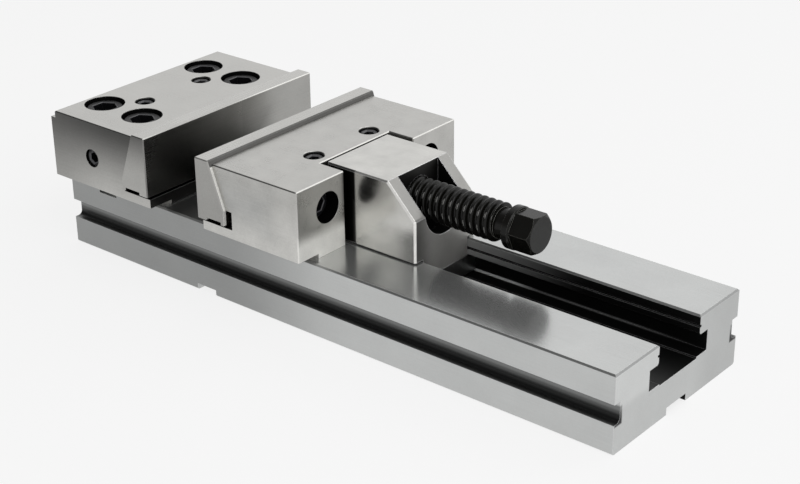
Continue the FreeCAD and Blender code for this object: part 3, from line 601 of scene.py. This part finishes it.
@dataclass
class Spindle:
    """Feed spindle with a crowned hexagon, a collar, a rounded trapezoidal thread and a button tip.

    It is built along its own Z axis, backwards from the hexagon's end, and set down on its joint's axis.
    """

    hexagon: float = 22.0
    hexagon_length: float = 14.0
    crown_radius: float = 10.6
    crown_slope: float = 0.75
    collar: float = 26.0
    hexagon_turn: float = -5.0
    collar_length: float = 5.0
    throat: float = 18.4
    throat_length: float = 8.0
    shoulder_length: float = 5.2
    thread: float = 24.0
    thread_length: float = 107.8
    pitch: float = 5.0
    thread_depth: float = 2.7
    crest_flatness: float = 1.7
    stem: float = 11.0
    stem_length: float = 10.4
    button: float = 16.0
    button_length: float = 5.6
    edge_break: float = 0.8
    around: int = 48
    thread_points: int = 12
    turns_before: int = 2
    turns_after: int = 1
    # Painted glints: rows of small bright spots on the crests, which turn with the spindle.
    glint_rows: tuple[Point, ...] = ((0.0, -0.82, 0.57), (0.0, -0.993, -0.115))
    glint_spread: float = 0.009

    def painted_crest_glints(self) -> tuple[Zone, ...]:
        """Returns the rows of painted glints, small bright spots, on the thread's crests."""
        low, high = corners_mm("spindle")
        stop = high.x - self.hexagon_length - self.collar_length - self.throat_length
        start = (low.x, low.y - LAP, low.z - LAP)
        end = (stop, high.y + LAP, high.z + LAP)
        return tuple(Zone(start, end, warm(0.32), 0.3, facing=row, spread=self.glint_spread)
                     for row in self.glint_rows)

    def build(self) -> bpy.types.Object:
        """Builds the spindle where its hinge says.

        Returns:
            The new object.
        """
        material = OILED_SPINDLE.make(self.painted_crest_glints())
        joint = next(item for item in frame["joints"] if item["name"] == "spindle_turn")
        end = Vector(joint["pos_m"]) / MM
        back = Vector(joint["axis"])
        piece = Piece("spindle_threaded")
        self.add_hexagon(piece)
        self.add_turned(piece)
        self.add_thread(piece)
        turn = Vector((0, 0, -1)).rotation_difference(back).to_matrix().to_4x4()
        twist = Matrix.Rotation(math.radians(self.hexagon_turn), 4, -back)
        return piece.settled(Matrix.Translation(end) @ twist @ turn, (material,), "spindle", "spindle")

    def add_hexagon(self, piece: Piece) -> None:
        """Adds the hexagon, its corners cut back to a crown at the free end."""
        corner = self.hexagon / math.sqrt(3)
        root = piece.ring(corner, -self.hexagon_length, 6, self.around // 6 - 1)
        top = piece.drawn(root, self.hexagon_length)
        for vert in {vert for edge in top for vert in edge.verts}:
            vert.co.z -= max(0.0, vert.co.xy.length - self.crown_radius) * self.crown_slope
        inner = piece.drawn(top, 0.0)
        for vert in {vert for edge in inner for vert in edge.verts}:
            reach = self.crown_radius / vert.co.xy.length
            vert.co = Vector((vert.co.x * reach, vert.co.y * reach, 0.0))
        piece.closed(inner)

    def add_turned(self, piece: Piece) -> None:
        """Adds the collar, throat, core, stem and button as one turned outline."""
        core = self.thread / 2 - self.thread_depth
        collar_end = self.hexagon_length + self.collar_length
        thread_start = collar_end + self.throat_length
        thread_end = thread_start + self.thread_length
        stem_end = thread_end + self.stem_length
        edge = self.edge_break
        outline = (
            (0.0, self.hexagon_length), (self.collar / 2 - edge, self.hexagon_length),
            (self.collar / 2, self.hexagon_length + edge), (self.collar / 2, collar_end - edge / 2),
            (self.collar / 2 - edge / 2, collar_end), (self.throat / 2, collar_end),
            (self.throat / 2, thread_start - self.shoulder_length), (core, thread_start),
            (core, thread_end),
            (self.stem / 2, thread_end), (self.stem / 2, stem_end), (self.button / 2 - edge, stem_end),
            (self.button / 2, stem_end + edge), (self.button / 2, stem_end + self.button_length - edge),
            (self.button / 2 - edge, stem_end + self.button_length), (0.0, stem_end + self.button_length),
        )
        verts = [piece.mesh.verts.new((radius, 0.0, -back)) for radius, back in outline]
        edges = [piece.mesh.edges.new(pair) for pair in zip(verts, verts[1:])]
        bmesh.ops.spin(piece.mesh, geom=verts + edges, cent=(0, 0, 0), axis=(0, 0, 1), dvec=(0, 0, 0),
                       angle=math.tau, steps=self.around, use_merge=True)

    def add_thread(self, piece: Piece) -> None:
        """Adds the thread: one pitch of its outline, wound round the axis and cut square at both ends."""
        start = -(self.hexagon_length + self.collar_length + self.throat_length)
        stop = start - self.thread_length
        thread = bmesh.new()
        mean = self.thread / 2 - self.thread_depth / 2
        # It starts some turns early and ends some late, so that both cuts go through a whole thread.
        bottom = stop - self.turns_before * self.pitch
        verts = []
        for index in range(self.thread_points + 1):
            share = index / self.thread_points
            wave = math.tanh(self.crest_flatness * math.cos(math.tau * share))
            radius = mean + self.thread_depth / 2 * wave / math.tanh(self.crest_flatness)
            verts.append(thread.verts.new((radius, 0.0, bottom + share * self.pitch)))
        edges = [thread.edges.new(pair) for pair in zip(verts, verts[1:])]
        turns = math.ceil(self.thread_length / self.pitch) + self.turns_before + self.turns_after
        bmesh.ops.spin(thread, geom=verts + edges, cent=(0, 0, 0), axis=(0, 0, 1),
                       dvec=(0, 0, self.pitch / self.around), angle=math.tau * turns,
                       steps=self.around * turns)
        bmesh.ops.remove_doubles(thread, verts=thread.verts, dist=MERGE)
        for level, way in ((start, 1), (stop, -1)):
            geometry = thread.verts[:] + thread.edges[:] + thread.faces[:]
            cut = bmesh.ops.bisect_plane(thread, geom=geometry, plane_co=(0, 0, level),
                                         plane_no=(0, 0, way), clear_outer=True)
            rim = [item for item in cut["geom_cut"] if isinstance(item, bmesh.types.BMEdge)]
            bmesh.ops.holes_fill(thread, edges=rim)
        data = bpy.data.meshes.new("thread")
        thread.to_mesh(data)
        thread.free()
        piece.mesh.from_mesh(data)
        bpy.data.meshes.remove(data)


@dataclass
class Base:
    """Base slab: bright ground outside, dark with painted shade in its channel and grooves, and oily in its
    channel.
    """

    channel: float = 59.0
    channel_lap: float = 0.5
    neck: float = 42.0
    floor: float = 22.0
    groove_low: float = 18.0
    groove_wall: float = 57.5
    groove_back: float = 2.0
    groove_tones: tuple[tuple[float, float], ...] = ((9.5, 0.20), (6.5, 0.11), (4.5, 0.05), (2.8, 0.018))
    ledge: float = 2.2
    ledge_rise: float = 3.0
    keyway: float = 20.0
    keyway_depth: float = 4.5
    keyway_lap: float = 0.3
    top_gloss: float = 0.18
    edge_drop: float = 1.2
    side_shade_end: float = -20.0
    end_light_low: float = 26.0
    end_shade_start: float = 24.0
    bed_start: float = -124.0
    bed_end: float = -88.0
    bed_drop: float = 3.0
    cheek_low: float = 36.5
    cheek_end: float = 95.0
    cheek_lap: tuple[float, float] = (-0.4, 0.6)
    corner_start: float = 20.0
    corner_across: tuple[float, float] = (-1.2, 0.3)
    corner_up: tuple[float, float] = (0.8, 2.2)
    corner_lines: tuple[Point, ...] = ((180.0, 30.0, 0.16), (86.0, 12.0, 0.95))

    def dress(self) -> None:
        """Dresses the base."""
        base = Cover("base")
        _, high = corners_mm("base")
        top = high.z
        zones = [
            # Painted shade: the near side is darker towards the fixed jaw.
            base.zone(cool(0.31), 0.34, x=(None, self.side_shade_end), facing=Way.NEAR, soft=55),
            # Painted light and shade: the open end is lightest beside the near wall of its channel.
            base.zone(cool(0.55), 0.32, x=(0, None), facing=Way.ALONG),
            base.zone(cool(0.64), 0.32, x=(0, None), y=(None, 0), z=(self.end_light_low, None),
                      facing=Way.ALONG, soft=3),
            base.zone(cool(0.49), 0.32, x=(0, None), y=(self.end_shade_start, None), facing=Way.ALONG,
                      soft=(3.0, 12.0, 3.0)),
            # The top is ground finer than the sides.
            base.zone(cool(0.56), self.top_gloss, z=(top - SKIN, None), facing=Way.UP, spread=0.05,
                      matt=0.18),
            # Painted shade and a painted reflection of the jaws darken it between them.
            base.zone(cool(0.11), 0.3, x=(self.bed_start, self.bed_end), z=(top - self.bed_drop, None),
                      facing=Way.UP, soft=3),
        ]
        # Painted shade on the broken top edges.
        for way in (Way.ALONG, Way.NEAR, Way.FAR, Way.BACK):
            slant = tuple(Vector(way.value) + Vector(Way.UP.value))
            zones.append(base.zone(cool(0.26), 0.4, z=(top - self.edge_drop, None), facing=slant,
                                   spread=0.03))
        zones += self.groove_zones(base) + self.channel_zones(base)
        dress("base", TABLE_STEEL.make(tuple(zones), "_base"))

    def groove_zones(self, base: Cover) -> list[Zone]:
        """Returns the painted shade of both clamping grooves, darker downwards, lighter on the outer ledge.
        """
        _, high = corners_mm("base")
        zones = []
        for side in (-1, 1):
            wall = sorted((side * (self.groove_wall - self.groove_back), side * (high.y - LAP)))
            ledge = sorted((side * (high.y - self.ledge), side * (high.y + BEYOND)))
            for rise, level in self.groove_tones:
                height = (self.groove_low - LAP, self.groove_low + rise)
                zones.append(base.zone(cool(level), 0.36, y=wall, z=height, soft=0.9))
            height = (self.groove_low - LAP, self.groove_low + self.ledge_rise)
            zones.append(base.zone(cool(0.15), 0.4, y=ledge, z=height, facing=Way.UP,
                                   soft=(0.9, 3.0, 0.9), matt=0.5))
        return zones

    def channel_zones(self, base: Cover) -> list[Zone]:
        """Returns the zones of the T channel and of the keyway under it, mostly painted light and shade."""
        _, high = corners_mm("base")
        half, cheek, key = self.channel / 2, self.neck / 2, self.keyway / 2
        channel_half, key_half = half + self.channel_lap, key + self.keyway_lap
        zones = [
            # Painted shade and oil darken the channel.
            base.zone(cool(0.045), 0.38, x=(-high.x + SKIN, high.x - SKIN), y=(-channel_half, channel_half),
                      z=(self.floor - LAP, high.z - self.edge_drop)),
            # Painted light: the far wall of the neck is light near the carriage.
            base.zone(cool(0.50), 0.4, x=(0, self.cheek_end),
                      y=(cheek + self.cheek_lap[0], cheek + self.cheek_lap[1]),
                      z=(self.cheek_low, high.z - LAP), facing=Way.NEAR, soft=(45.0, 0.25, 0.25), matt=0.8),
        ]
        # A painted highlight runs as a line in the corner of the floor.
        across = (half + self.corner_across[0], half + self.corner_across[1])
        height = (self.floor + self.corner_up[0], self.floor + self.corner_up[1])
        for reach, run, level in self.corner_lines:
            zones.append(base.zone(cool(level), 0.4, x=(self.corner_start, reach), y=across, z=height,
                                   soft=(run, 0.25, 0.25), matt=0.8))
        # Painted shade in the keyway under the base.
        zones.append(base.zone(cool(0.01), 0.5, x=(-high.x - LAP, high.x - SKIN), y=(-key_half, key_half),
                               z=(-LAP, self.keyway_depth + self.keyway_lap), soft=0.15))
        return zones


@dataclass
class FixedJaw:
    """Fixed jaw with its plate, bolts, key and the screws behind it."""

    bolt_socket: float = 14.0
    bolt_head: float = 16.0
    bolt_radius: float = 8.0
    bolts: int = 4
    shelf: float = 56.8
    shelf_depth: float = 24.0
    shelf_shade: tuple[float, float] = (-0.5, 3.5)
    wall_drop: float = 9.0
    side_shade_low: float = 73.0
    rear_shade: float = 17.0
    plate_shade_low: float = 88.0
    plate_light_start: float = 10.0
    plate_rim: float = 0.6
    plate_dusk: tuple[float, float] = (-70.0, 18.0)
    plate_dark_end: tuple[float, float] = (30.0, 80.0)

    def dress(self) -> None:
        """Dresses the fixed jaw and builds its screws."""
        body = "fixed_jaw_body"
        low, high = corners_mm(body)
        jaw = Cover(body)
        zones = [
            # Painted shade: the near side is dark above and at the rear.
            jaw.zone(warm(0.06), 0.30, z=(self.side_shade_low, None), facing=Way.NEAR, soft=25),
            jaw.zone(warm(0.14), 0.30, x=(None, low.x + self.rear_shade), facing=Way.NEAR, soft=40,
                     strength=0.6),
            # Painted shade on the wall under the plate and on the shelf that it stands on.
            jaw.zone(warm(0.05), 0.4, z=(self.shelf - self.wall_drop, self.shelf + LAP),
                     facing=Way.ALONG),
            jaw.zone(warm(0.006), 0.5, x=(high.x - self.shelf_depth, None),
                     z=(self.shelf + self.shelf_shade[0], self.shelf + self.shelf_shade[1]), facing=Way.UP),
            edge_shade_line(jaw, high.z),
        ]
        for number in range(1, self.bolts + 1):
            zones.append(bore_shade_zone(f"fixed_jaw_bolt_{number}", body, Way.UP))
        for number in (1, 2):
            zones.append(bore_shade_zone(f"fixed_top_plug_{number}", body, Way.UP, PLUG_ROOM))
            zones.append(bore_shade_zone(f"fixed_plate_screw_{number}", body, Way.BACK))
        zones.append(bore_shade_zone("side_plug_1", body, Way.NEAR, PLUG_ROOM))
        zones.append(bore_shade_zone("side_plug_2", body, Way.FAR, PLUG_ROOM))
        dress(body, GROUND_STEEL.make(tuple(zones), "_fixed"))
        self.dress_plate()
        dress("fixed_jaw_key", GUIDE_STEEL.make(label="_key"))
        self.build_screws()

    def build_screws(self) -> None:
        """Builds the bolts, the plate's screws and the set screws."""
        black = BLACK_OXIDE.make(), RIM_HIGHLIGHT.make()
        for number in range(1, self.bolts + 1):
            SocketScrew(f"fixed_jaw_bolt_{number}", "base", Way.UP, self.bolt_socket, self.bolt_head,
                        self.bolt_radius).build(*black)
        for number in (1, 2):
            PullScrew(f"fixed_plate_screw_{number}", "base", Way.BACK).build(*black)
            SetScrew(f"fixed_top_plug_{number}", "base", Way.UP).build(*black)
        SetScrew("side_plug_1", "base", Way.NEAR).build(*black)
        SetScrew("side_plug_2", "base", Way.FAR).build(*black)

    def dress_plate(self) -> None:
        """Dresses the jaw's plate, whose face has painted shade between the jaws."""
        _, high = corners_mm("fixed_jaw_plate")
        plate = Cover("fixed_jaw_plate")
        zones = (
            # Painted shade on its near side, darkest at the top.
            plate.zone(warm(0.40), 0.28, facing=Way.NEAR),
            plate.zone(warm(0.06), 0.28, z=(self.plate_shade_low, None), facing=Way.NEAR, soft=20),
            # Painted light and shade: its face is lighter far off and darker near by and low down.
            plate.zone(warm(0.38), 0.28, y=(self.plate_light_start, None), z=(None, high.z - self.plate_rim),
                       facing=Way.ALONG),
            plate.zone(warm(0.27), 0.28, y=self.plate_dusk, facing=Way.ALONG, soft=22),
            plate.zone(warm(0.10), 0.28, y=(None, self.plate_dark_end[0]), z=(None, self.plate_dark_end[1]),
                       facing=Way.ALONG, soft=16, strength=0.7),
        )
        dress("fixed_jaw_plate", PLATE_STEEL.make(zones, "_fixed"))


@dataclass
class PullScrew(SocketScrew):
    """M12 cap screw that pulls a jaw plate home."""

    across: float = 10.0
    head_rise: float = 12.0
    shank: float = 6.0


@dataclass
class SetScrew(SocketScrew):
    """M12 set screw in an accessory hole, turned back a little from its solid as the photograph has it."""

    across: float = 6.0
    head_rise: float = 14.0
    shank: float = 6.0
    mouth_break: float = 0.9
    lift: float = 1.8


@dataclass
class MovingJaw:
    """Moving jaw with its plate, guide, thrust parts and screws."""

    shelf: float = 56.8
    shelf_depth: float = 20.0
    shelf_rise: float = 4.0
    side_light_high: float = 74.0
    side_band: tuple[float, float] = (62.0, 86.0)
    side_band_end: float = 22.0
    side_band_colour: Colour = (0.34, 0.345, 0.34)
    rear_light: float = 64.0
    rear_light_end: float = -10.0
    rear_depth: float = 6.0
    seat_start: float = 5.0
    seat_width: float = 2.4
    seat_drop: float = 3.0
    lip_drop: float = 4.0

    def dress(self) -> None:
        """Dresses the moving jaw and builds its screws."""
        body = "moving_jaw_body"
        low, high = corners_mm(body)
        jaw = Cover(body)
        zones = [
            # Painted light and shade: the near side is light below, with a faint grey band above.
            jaw.zone(warm(0.60), 0.34, z=(None, self.side_light_high), facing=Way.NEAR, soft=18),
            jaw.zone(self.side_band_colour, 0.34, x=(None, high.x - self.side_band_end), z=self.side_band,
                     facing=Way.NEAR, soft=14, strength=0.6),
            # Painted reflection of the floor's light on the rear, low down.
            jaw.zone(warm(0.88), 0.42, x=(high.x - self.rear_depth, None), y=(None, self.rear_light_end),
                     z=(None, self.rear_light), facing=Way.ALONG, soft=(2.5, 2.5, 5.0), matt=0.55),
            # Painted shade: the shelf behind the plate is dark.
            jaw.zone(warm(0.006), 0.5, x=(low.x, low.x + self.shelf_depth),
                     z=(low.z, self.shelf + self.shelf_rise), facing=Way.UP),
            edge_shade_line(jaw, high.z),
        ]
        for number in (1, 2):
            zones.append(bore_shade_zone(f"moving_top_plug_{number}", body, Way.UP, PLUG_ROOM))
            zones.append(bore_shade_zone(f"moving_plate_screw_{number}", body, Way.ALONG))
        dress(body, CLOUDED_STEEL.make(tuple(zones), "_moving"))
        self.dress_plate()
        guide = GUIDE_STEEL.make(label="_guide")
        for node in ("moving_jaw_guide", "thrust_cover", "thrust_block"):
            dress(node, guide)
        black = BLACK_OXIDE.make(label="_moving"), RIM_HIGHLIGHT.make(label="_moving")
        for number in (1, 2):
            PullScrew(f"moving_plate_screw_{number}", "moving_jaw", Way.ALONG).build(*black)
            SetScrew(f"moving_top_plug_{number}", "moving_jaw", Way.UP).build(*black)

    def dress_plate(self) -> None:
        """Dresses the jaw's plate, with a painted highlight on the strip of its leaning back and painted
        shade on its lip.
        """
        low, high = corners_mm("moving_jaw_plate")
        plate = Cover("moving_jaw_plate")
        start = low.x + self.seat_start
        zones = (
            # Painted shade on its near side.
            plate.zone(warm(0.34), 0.3, facing=Way.NEAR),
            plate.zone(warm(0.95), 0.4, x=(start, None), y=(None, low.y + self.seat_width),
                       z=(low.z, high.z - self.seat_drop), facing=(0.93, 0.0, 0.37), spread=0.06, matt=0.8),
            plate.zone(warm(0.12), 0.4, x=(start, None), z=(high.z - self.lip_drop, None),
                       facing=(1.0, 0.0, 1.0), spread=0.12),
        )
        dress("moving_jaw_plate", PLATE_STEEL.make(zones, "_moving"))


@dataclass
class Carriage:
    """Carriage block with its saddle and foot."""

    saddle: float = 37.0
    saddle_room: float = 0.4
    saddle_low: float = 59.0
    saddle_skin: float = 0.3
    slope: float = 20.4
    slope_start: float = 40.0
    gap_end: float = 5.0
    side_light_start: float = 10.0
    side_light_stop: float = 8.0
    side_light_high: float = 70.0
    end_shade: float = -18.0
    corner_rise: float = 12.0
    corner_depth: float = 1.1
    corner_width: float = 1.3

    def dress(self) -> None:
        """Dresses the carriage."""
        low, high = corners_mm("carriage_block")
        block = Cover("carriage_block")
        half = self.saddle / 2 + self.saddle_room
        zones = (
            # Painted shade makes its side black in the gap behind the moving jaw, and painted light makes it
            # light low down.
            block.zone(warm(0.01), 0.4, x=(None, self.gap_end), facing=Way.NEAR, soft=0.8),
            block.zone(warm(0.80), 0.25, x=(self.side_light_start, high.x - self.side_light_stop),
                       z=(None, self.side_light_high), facing=Way.NEAR, soft=8, matt=0.25),
            # Painted shade: the slopes and the end face are greyer, the end face most at its near edge.
            block.zone(warm(0.21), 0.28, x=(low.x + self.slope_start, None), z=(low.z, None),
                       facing=(1.0, 0.0, 1.0), spread=0.1),
            block.zone(warm(0.36), 0.45, x=(high.x - LAP, None), z=(low.z, high.z), facing=Way.ALONG,
                       matt=0.5),
            block.zone(warm(0.12), 0.4, x=(high.x - LAP, None), y=(None, self.end_shade),
                       z=(low.z, high.z), facing=Way.ALONG, soft=(0.25, 9.0, 0.25), matt=0.5),
            # Painted shade: the saddle round the spindle is dark.
            block.zone(warm(0.03), 0.45, x=(low.x + SKIN, high.x - self.saddle_skin), y=(-half, half),
                       z=(self.saddle_low - LAP, high.z - self.saddle_skin)),
            # The near corner is broken, with a painted highlight on it.
            block.zone(warm(0.98), 0.35, x=(high.x - self.corner_depth, None),
                       y=(None, low.y + self.corner_width),
                       z=(low.z + self.corner_rise, high.z - self.slope), soft=0.15, matt=0.8),
        )
        dress("carriage_block", POLISHED_STEEL.make(zones, "_carriage"))
        dress("carriage_foot", GUIDE_STEEL.make(label="_foot"))


@dataclass
class PhotoCamera:
    """Camera that stands where the photograph's stood. Angles in degrees, distances in millimetres.

    It is turned towards the frame's origin and then moved aside and above without turning.
    """

    focal_pixels: float = 1723.63
    azimuth: float = 39.96
    elevation: float = 25.49
    roll: float = -0.68
    aside: float = 11.27
    above: float = 34.23
    distance: float = 1061.9
    sensor: float = 36.0
    picture_width: int = 800
    clip_metres: tuple[float, float] = (0.01, 50.0)

    def build(self) -> None:
        """Makes it the scene's camera."""
        azimuth, elevation, roll = (math.radians(x) for x in (self.azimuth, self.elevation, self.roll))
        level = math.cos(elevation)
        back = Vector((math.sin(azimuth) * level, -math.cos(azimuth) * level, math.sin(elevation)))
        right = (-back).cross(Vector((0, 0, 1))).normalized()
        up = right.cross(-back)
        right, up = (right * math.cos(roll) + up * math.sin(roll),
                     up * math.cos(roll) - right * math.sin(roll))
        spot = back * self.distance + right * self.aside + up * self.above
        data = bpy.data.cameras.new("photo_camera")
        data.sensor_width = self.sensor
        data.lens = self.focal_pixels * self.sensor / self.picture_width
        data.clip_start, data.clip_end = self.clip_metres
        item = bpy.data.objects.new("photo_camera", data)
        turn = Matrix((right, up, back)).transposed().to_4x4()
        item.matrix_world = Matrix.Translation(spot * MM) @ turn
        bpy.context.scene.collection.objects.link(item)
        bpy.context.scene.camera = item


@dataclass(frozen=True)
class Softbox:
    """Square area lamp aimed at the frame's origin. Angles in degrees, sizes in metres."""

    name: str
    azimuth: float
    elevation: float
    distance: float
    width: float
    radiance: float

    def build(self) -> None:
        """Hangs the lamp."""
        azimuth, elevation = math.radians(self.azimuth), math.radians(self.elevation)
        level = math.cos(elevation)
        way = Vector((math.sin(azimuth) * level, -math.cos(azimuth) * level, math.sin(elevation)))
        data = bpy.data.lights.new(self.name, "AREA")
        data.size = self.width
        data.energy = self.radiance * math.pi * self.width ** 2
        item = bpy.data.objects.new(self.name, data)
        item.rotation_mode = "QUATERNION"
        item.location = way * self.distance
        item.rotation_quaternion = way.to_track_quat("Z", "Y")
        bpy.context.scene.collection.objects.link(item)


@dataclass
class Studio:
    """Pale floor, white surroundings and soft lamps."""

    lamps: tuple[Softbox, ...] = (
        Softbox("key", azimuth=75, elevation=48, distance=1.8, width=1.2, radiance=2.0),
        Softbox("rim", azimuth=148, elevation=38, distance=1.8, width=1.0, radiance=1.05))
    floor_radius: float = 8.0
    floor_sides: int = 64
    floor_drop: float = 0.0002
    floor_colour: Colour = (0.86, 0.86, 0.86)
    glow_colour: Colour = (0.98, 0.98, 0.98)
    floor_glow: float = 0.82
    floor_gloss: float = 0.72
    ambient: float = 0.55
    flag_way: Point = (-0.62, -0.46, 0.64)
    flag_edge: float = 0.72
    flag_core: float = 0.96
    flag_level: float = 0.25

    def build(self) -> None:
        """Builds the studio."""
        self.build_floor()
        self.build_world()
        for lamp in self.lamps:
            lamp.build()
        bpy.context.scene.view_settings.view_transform = "Standard"

    def build_floor(self) -> None:
        """Lays a round floor that looks white to the camera and keeps the shadow."""
        mesh = bmesh.new()
        bmesh.ops.create_circle(mesh, cap_ends=True, segments=self.floor_sides, radius=self.floor_radius)
        bmesh.ops.translate(mesh, verts=mesh.verts, vec=(0, 0, -self.floor_drop))
        data = bpy.data.meshes.new("floor")
        mesh.to_mesh(data)
        mesh.free()
        floor = bpy.data.objects.new("floor", data)
        bpy.context.scene.collection.objects.link(floor)
        material = bpy.data.materials.new("pale_floor")
        material.use_nodes = True
        graph = Graph(material.node_tree)
        matt = graph.node("ShaderNodeBsdfDiffuse", {"Color": (*self.floor_colour, 1.0)})
        glow = graph.node("ShaderNodeEmission", {"Color": (*self.glow_colour, 1.0)})
        path = graph.node("ShaderNodeLightPath", {})
        seen = graph.math("MULTIPLY", path.outputs["Is Camera Ray"], self.floor_glow)
        mirrored = graph.math("MULTIPLY", path.outputs["Is Glossy Ray"], self.floor_gloss)
        share = graph.math("MAXIMUM", seen, mirrored)
        both = graph.node("ShaderNodeMixShader", {0: share, 1: matt.outputs[0], 2: glow.outputs[0]})
        graph.node("ShaderNodeOutputMaterial", {"Surface": both.outputs[0]})
        data.materials.append(material)

    def build_world(self) -> None:
        """Makes the surroundings white for the camera and for gloss, with one dark flag front left."""
        world = bpy.data.worlds.new("studio")
        world.use_nodes = True
        bpy.context.scene.world = world
        graph = Graph(world.node_tree)
        path = graph.node("ShaderNodeLightPath", {})
        seen = graph.math("MAXIMUM", path.outputs["Is Camera Ray"], path.outputs["Is Glossy Ray"])
        seen = graph.math("MAXIMUM", seen, path.outputs["Is Transmission Ray"])
        way = graph.node("ShaderNodeTexCoord", {}).outputs["Generated"]
        aim = tuple(Vector(self.flag_way).normalized())
        flag = graph.ramp(graph.dot(way, aim), self.flag_edge, self.flag_core, 1.0, self.flag_level)
        strength = graph.mix_number(seen, self.ambient, flag)
        light = graph.node("ShaderNodeBackground", {"Color": (1, 1, 1, 1), "Strength": strength})
        graph.node("ShaderNodeOutputWorld", {"Surface": light.outputs[0]})


def main() -> None:
    """Builds and dresses the vise, then the studio."""
    logging.basicConfig(level=logging.INFO, format="%(name)s: %(message)s")
    PhotoCamera().build()
    Base().dress()
    FixedJaw().dress()
    MovingJaw().dress()
    Carriage().dress()
    Spindle().build()
    Studio().build()


if __name__ == "__main__":
    main()
